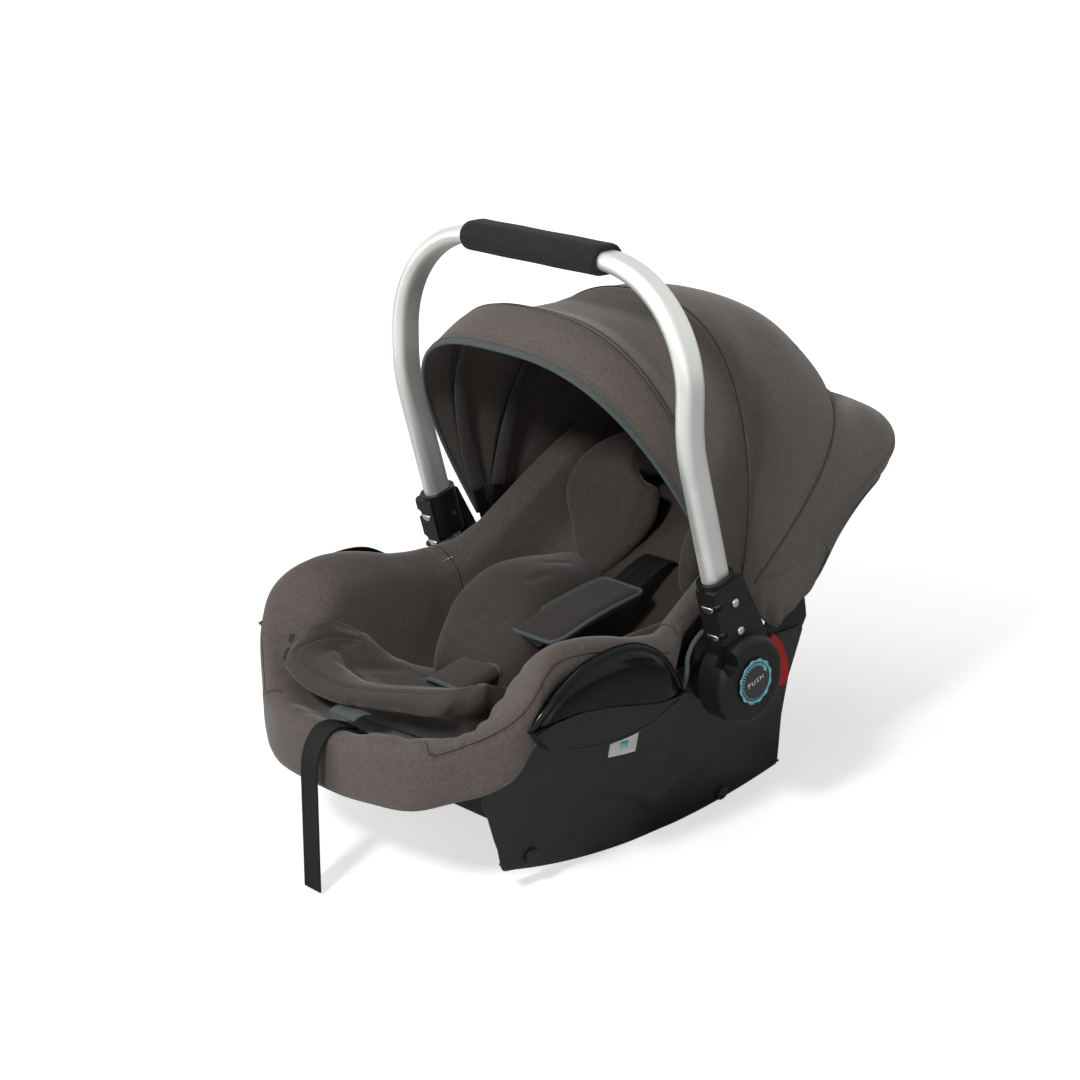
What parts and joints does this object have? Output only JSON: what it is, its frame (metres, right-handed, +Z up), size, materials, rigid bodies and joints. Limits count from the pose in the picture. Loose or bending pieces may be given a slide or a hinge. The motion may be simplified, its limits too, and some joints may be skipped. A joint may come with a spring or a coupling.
{
  "type": "infant car seat",
  "caption": "Rear-facing infant carrier: padded bucket on a rocker base, tubular carry handle on round hubs, folding fabric hood and a buckled harness.",
  "frame": {"origin": "on the floor, below the middle of the part, measured without the free strap", "axes": "+Z up; +Y from the foot end to the head end, so the occupant faces -Y; +X to the side"},
  "size_m": [0.448, 0.6842, 0.5915],
  "materials": {
    "shell_plastic": "fine grain moulded black",
    "base_plastic": "satin moulded black",
    "hub_plastic": "fine grain moulded black",
    "gloss_shield": "high gloss black",
    "lip_plastic": "satin black",
    "hook_red": "semi gloss red",
    "button_plastic": "gloss black with a light blue ring",
    "foam": "expanded foam",
    "cover_fabric": "fine woven warm grey",
    "insert_fabric": "fine woven warm grey with grey-green piping",
    "hood_fabric": "fine woven warm grey",
    "webbing": "ribbed black webbing",
    "flap_fabric": "grey-green tape",
    "buckle_plastic": "satin black",
    "release_red": "red",
    "tube_metal": "satin anodised",
    "grip_foam": "matt black foam",
    "steel": "zinc plated",
    "foot_rubber": "matt black"
  },
  "bodies": {
    "seat": {"seat_shell": "shell_plastic", "rocker_base": "base_plastic", "rocker_feet": "foot_rubber", "foam_liner": "foam", "seat_cover": "cover_fabric", "insert_pad": "insert_fabric", "bolster_left": "insert_fabric", "bolster_right": "insert_fabric", "head_hugger": "insert_fabric", "hub_base_left": "base_plastic", "hub_base_right": "base_plastic", "pivot_bolt_left": "steel", "pivot_bolt_right": "steel", "belt_guide_left": "gloss_shield", "belt_guide_right": "gloss_shield", "guide_lip_left": "lip_plastic", "guide_lip_right": "lip_plastic", "belt_hook_left": "hook_red", "belt_hook_right": "hook_red", "hood_bracket_left": "base_plastic", "hood_bracket_right": "base_plastic", "hood_boot": "hood_fabric", "hood_rear_panel": "hood_fabric", "shoulder_strap_left": "webbing", "shoulder_strap_right": "webbing", "shoulder_pad_left": "insert_fabric", "shoulder_pad_right": "insert_fabric", "crotch_strap": "webbing", "crotch_pad": "insert_fabric", "buckle": "buckle_plastic", "buckle_tongues": "steel", "strap_adjuster": "buckle_plastic", "adjuster_flap": "flap_fabric", "adjuster_strap": "webbing", "harness_yoke": "steel", "rear_webbing": "webbing"},
    "handle": {"handle_arm_left": "hub_plastic", "handle_arm_right": "hub_plastic", "handle_tube": "tube_metal", "handle_grip": "grip_foam", "handle_rivets": "steel"},
    "left_button": {"push_button_left": "button_plastic"},
    "right_button": {"push_button_right": "button_plastic"},
    "hood_middle": {"mid_bow": "base_plastic", "hood_front_panel": "hood_fabric", "hood_pin_left": "steel", "hood_pin_right": "steel"},
    "hood_front": {"front_bow": "base_plastic", "hood_visor": "hood_fabric"},
    "release_button": {"buckle_button": "release_red"}
  },
  "joints": [
    {"name": "handle_swing", "type": "hinge", "parent": "seat", "child": "handle", "pos_m": [0, 0.008, 0.182], "axis": [-1, 0, 0], "range_deg": [0, 120]},
    {"name": "left_button_press", "type": "slide", "parent": "handle", "child": "left_button", "axis": [1, 0, 0], "range_m": [0, 0.004], "stiffness_N_per_m": 800},
    {"name": "right_button_press", "type": "slide", "parent": "handle", "child": "right_button", "axis": [-1, 0, 0], "range_m": [0, 0.004], "stiffness_N_per_m": 800},
    {"name": "hood_fold", "type": "hinge", "parent": "seat", "child": "hood_middle", "pos_m": [0, 0.03, 0.238], "axis": [-1, 0, 0], "range_deg": [0, 33], "deforming": ["hood_rear_panel"]},
    {"name": "visor_fold", "type": "hinge", "parent": "hood_middle", "child": "hood_front", "pos_m": [0, 0.03, 0.238], "axis": [-1, 0, 0], "range_deg": [0, 22], "deforming": ["hood_front_panel"]},
    {"name": "buckle_release", "type": "slide", "parent": "seat", "child": "release_button", "axis": [0, 0.4226, -0.9063], "range_m": [0, 0.003], "stiffness_N_per_m": 900}
  ],
  "couplings": [
    {"joint": "visor_fold", "follows": "hood_fold", "ratio": 0.6666}
  ]
}
